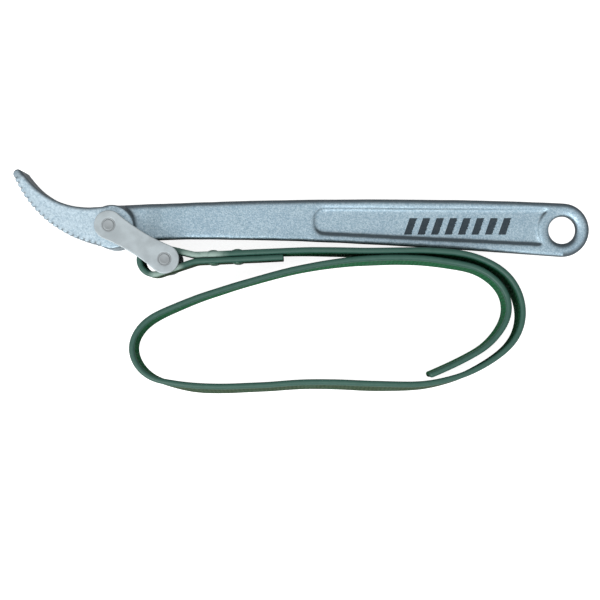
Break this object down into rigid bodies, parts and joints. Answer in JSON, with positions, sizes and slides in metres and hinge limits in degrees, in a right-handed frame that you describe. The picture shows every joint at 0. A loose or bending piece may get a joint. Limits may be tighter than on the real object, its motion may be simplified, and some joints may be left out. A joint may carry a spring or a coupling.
{
  "type": "strap wrench",
  "caption": "Strap wrench: flat forged handle with a curved toothed jaw, riveted side plates and a long coated strap for gripping and turning pipes and filters.",
  "frame": {"origin": "centre of the hanging hole, halfway through the handle's thickness", "axes": "+X along the tool, from the jaw towards the hanging eye; +Y across the handle, away from the strap; +Z through the tool, along the rivets and the hanging hole"},
  "size_m": [0.2975, 0.1129, 0.0328],
  "materials": {
    "hammered_steel": "bluish silver coat with a fine speckled, hammered texture",
    "plated_steel": "satin plated sheet steel",
    "rivet_steel": "satin steel, slightly darker than the plates",
    "strap": "green coated webbing, soft sheen",
    "strap_rivet": "green coated rivet heads"
  },
  "bodies": {
    "head_and_handle": {"handle": "hammered_steel"},
    "side_links": {"side_plate_front": "plated_steel", "side_plate_rear": "plated_steel", "pivot_rivet": "rivet_steel", "strap_pin_rivet": "rivet_steel"},
    "roller": {"strap_roller": "rivet_steel"},
    "eye": {"strap_eye": "strap", "strap_rivets": "strap_rivet"},
    "top_1": {"strap_top_1": "strap"},
    "top_2": {"strap_top_2": "strap"},
    "top_3": {"strap_top_3": "strap"},
    "outer_1": {"strap_outer_1": "strap"},
    "outer_2": {"strap_outer_2": "strap"},
    "outer_3": {"strap_outer_3": "strap"},
    "outer_4": {"strap_outer_4": "strap"},
    "lower_1": {"strap_lower_1": "strap"},
    "lower_2": {"strap_lower_2": "strap"},
    "lower_3": {"strap_lower_3": "strap"},
    "lower_4": {"strap_lower_4": "strap"},
    "lower_5": {"strap_lower_5": "strap"},
    "left_1": {"strap_left_1": "strap"},
    "left_2": {"strap_left_2": "strap"},
    "left_3": {"strap_left_3": "strap"},
    "return_1": {"strap_return_1": "strap"},
    "return_2": {"strap_return_2": "strap"},
    "return_3": {"strap_return_3": "strap"},
    "return_4": {"strap_return_4": "strap"},
    "return_5": {"strap_return_5": "strap"},
    "inner_1": {"strap_inner_1": "strap"},
    "inner_2": {"strap_inner_2": "strap"},
    "inner_3": {"strap_inner_3": "strap"},
    "end_1": {"strap_end_1": "strap"}
  },
  "joints": [
    {"name": "link_swing", "type": "hinge", "parent": "head_and_handle", "child": "side_links", "pos_m": [-0.2341, 0.0019, 0], "axis": [0, 0, 1], "range_deg": [-90, 0]},
    {"name": "strap_swing", "type": "hinge", "parent": "side_links", "child": "roller", "pos_m": [-0.20551, -0.01555, 0], "axis": [0, 0, 1], "range_deg": [-30, 0]},
    {"name": "strap_slack", "type": "slide", "parent": "roller", "child": "eye", "axis": [0.999, 0.0454, 0], "range_m": [0, 0.0076]},
    {"name": "bend_top_1", "type": "hinge", "parent": "eye", "child": "top_1", "pos_m": [-0.14394, -0.01116, 0], "axis": [0, 0, 1], "range_deg": [-8.5, 0]},
    {"name": "strap_wrap", "type": "hinge", "parent": "top_1", "child": "top_2", "pos_m": [-0.11495, -0.01085, 0], "axis": [0, 0, 1], "range_deg": [-20, 0]},
    {"name": "bend_top_3", "type": "hinge", "parent": "top_2", "child": "top_3", "pos_m": [-0.08595, -0.0108, 0], "axis": [0, 0, 1], "range_deg": [-19.5, 0]},
    {"name": "bend_outer_1", "type": "hinge", "parent": "top_3", "child": "outer_1", "pos_m": [-0.05699, -0.01176, 0], "axis": [0, 0, 1], "range_deg": [-2.5, 0]},
    {"name": "bend_outer_2", "type": "hinge", "parent": "outer_1", "child": "outer_2", "pos_m": [-0.03411, -0.01982, 0], "axis": [0, 0, 1], "range_deg": [0, 21.5]},
    {"name": "bend_outer_3", "type": "hinge", "parent": "outer_2", "child": "outer_3", "pos_m": [-0.02187, -0.04011, 0], "axis": [0, 0, 1], "range_deg": [0, 35.5]},
    {"name": "bend_outer_4", "type": "hinge", "parent": "outer_3", "child": "outer_4", "pos_m": [-0.03066, -0.06198, 0], "axis": [0, 0, 1], "range_deg": [0, 19.5]},
    {"name": "bend_lower_1", "type": "hinge", "parent": "outer_4", "child": "lower_1", "pos_m": [-0.05164, -0.07439, 0], "axis": [0, 0, 1], "range_deg": [-1.5, 0]},
    {"name": "bend_lower_2", "type": "hinge", "parent": "lower_1", "child": "lower_2", "pos_m": [-0.08251, -0.07961, 0], "axis": [0, 0, 1], "range_deg": [-13.5, 0]},
    {"name": "bend_lower_3", "type": "hinge", "parent": "lower_2", "child": "lower_3", "pos_m": [-0.11399, -0.07857, 0], "axis": [0, 0, 1], "range_deg": [-27.5, 0]},
    {"name": "bend_lower_4", "type": "hinge", "parent": "lower_3", "child": "lower_4", "pos_m": [-0.14546, -0.07917, 0], "axis": [0, 0, 1], "range_deg": [-26.5, 0]},
    {"name": "bend_lower_5", "type": "hinge", "parent": "lower_4", "child": "lower_5", "pos_m": [-0.17692, -0.0806, 0], "axis": [0, 0, 1], "range_deg": [-17.5, 0]},
    {"name": "bend_left_1", "type": "hinge", "parent": "lower_5", "child": "left_1", "pos_m": [-0.20823, -0.07764, 0], "axis": [0, 0, 1], "range_deg": [0, 11.5]},
    {"name": "bend_left_2", "type": "hinge", "parent": "left_1", "child": "left_2", "pos_m": [-0.2205, -0.06892, 0], "axis": [0, 0, 1], "range_deg": [0, 41.5]},
    {"name": "bend_left_3", "type": "hinge", "parent": "left_2", "child": "left_3", "pos_m": [-0.22078, -0.0541, 0], "axis": [0, 0, 1], "range_deg": [0, 35.5]},
    {"name": "bend_return_1", "type": "hinge", "parent": "left_3", "child": "return_1", "pos_m": [-0.20966, -0.04369, 0], "axis": [0, 0, 1], "range_deg": [0, 2.5]},
    {"name": "bend_return_2", "type": "hinge", "parent": "return_1", "child": "return_2", "pos_m": [-0.17889, -0.03182, 0], "axis": [0, 0, 1], "range_deg": [-22.5, 0]},
    {"name": "bend_return_3", "type": "hinge", "parent": "return_2", "child": "return_3", "pos_m": [-0.14719, -0.02267, 0], "axis": [0, 0, 1], "range_deg": [-22.5, 0]},
    {"name": "bend_return_4", "type": "hinge", "parent": "return_3", "child": "return_4", "pos_m": [-0.11483, -0.01632, 0], "axis": [0, 0, 1], "range_deg": [-20.5, 0]},
    {"name": "bend_return_5", "type": "hinge", "parent": "return_4", "child": "return_5", "pos_m": [-0.08191, -0.01454, 0], "axis": [0, 0, 1], "range_deg": [-18.5, 0]},
    {"name": "bend_inner_1", "type": "hinge", "parent": "return_5", "child": "inner_1", "pos_m": [-0.04924, -0.01878, 0], "axis": [0, 0, 1], "range_deg": [0, 3.5]},
    {"name": "bend_inner_2", "type": "hinge", "parent": "inner_1", "child": "inner_2", "pos_m": [-0.03247, -0.02984, 0], "axis": [0, 0, 1], "range_deg": [0, 35.5]},
    {"name": "bend_inner_3", "type": "hinge", "parent": "inner_2", "child": "inner_3", "pos_m": [-0.03126, -0.04918, 0], "axis": [0, 0, 1], "range_deg": [0, 30.5]},
    {"name": "bend_end_1", "type": "hinge", "parent": "inner_3", "child": "end_1", "pos_m": [-0.04555, -0.06353, 0], "axis": [0, 0, 1], "range_deg": [-2.5, 0]}
  ],
  "couplings": [
    {"joint": "strap_slack", "follows": "strap_swing", "m_per_rad": -0.014324},
    {"joint": "bend_top_1", "follows": "strap_wrap", "ratio": 0.4},
    {"joint": "bend_top_3", "follows": "strap_wrap", "ratio": 0.95},
    {"joint": "bend_outer_1", "follows": "strap_wrap", "ratio": 0.1},
    {"joint": "bend_outer_2", "follows": "strap_wrap", "ratio": -1.05},
    {"joint": "bend_outer_3", "follows": "strap_wrap", "ratio": -1.75},
    {"joint": "bend_outer_4", "follows": "strap_wrap", "ratio": -0.95},
    {"joint": "bend_lower_1", "follows": "strap_wrap", "ratio": 0.05},
    {"joint": "bend_lower_2", "follows": "strap_wrap", "ratio": 0.65},
    {"joint": "bend_lower_3", "follows": "strap_wrap", "ratio": 1.35},
    {"joint": "bend_lower_4", "follows": "strap_wrap", "ratio": 1.3},
    {"joint": "bend_lower_5", "follows": "strap_wrap", "ratio": 0.85},
    {"joint": "bend_left_1", "follows": "strap_wrap", "ratio": -0.55},
    {"joint": "bend_left_2", "follows": "strap_wrap", "ratio": -2.05},
    {"joint": "bend_left_3", "follows": "strap_wrap", "ratio": -1.75},
    {"joint": "bend_return_1", "follows": "strap_wrap", "ratio": -0.1},
    {"joint": "bend_return_2", "follows": "strap_wrap", "ratio": 1.1},
    {"joint": "bend_return_3", "follows": "strap_wrap", "ratio": 1.1},
    {"joint": "bend_return_4", "follows": "strap_wrap", "ratio": 1},
    {"joint": "bend_return_5", "follows": "strap_wrap", "ratio": 0.9},
    {"joint": "bend_inner_1", "follows": "strap_wrap", "ratio": -0.15},
    {"joint": "bend_inner_2", "follows": "strap_wrap", "ratio": -1.75},
    {"joint": "bend_inner_3", "follows": "strap_wrap", "ratio": -1.5},
    {"joint": "bend_end_1", "follows": "strap_wrap", "ratio": 0.1}
  ]
}
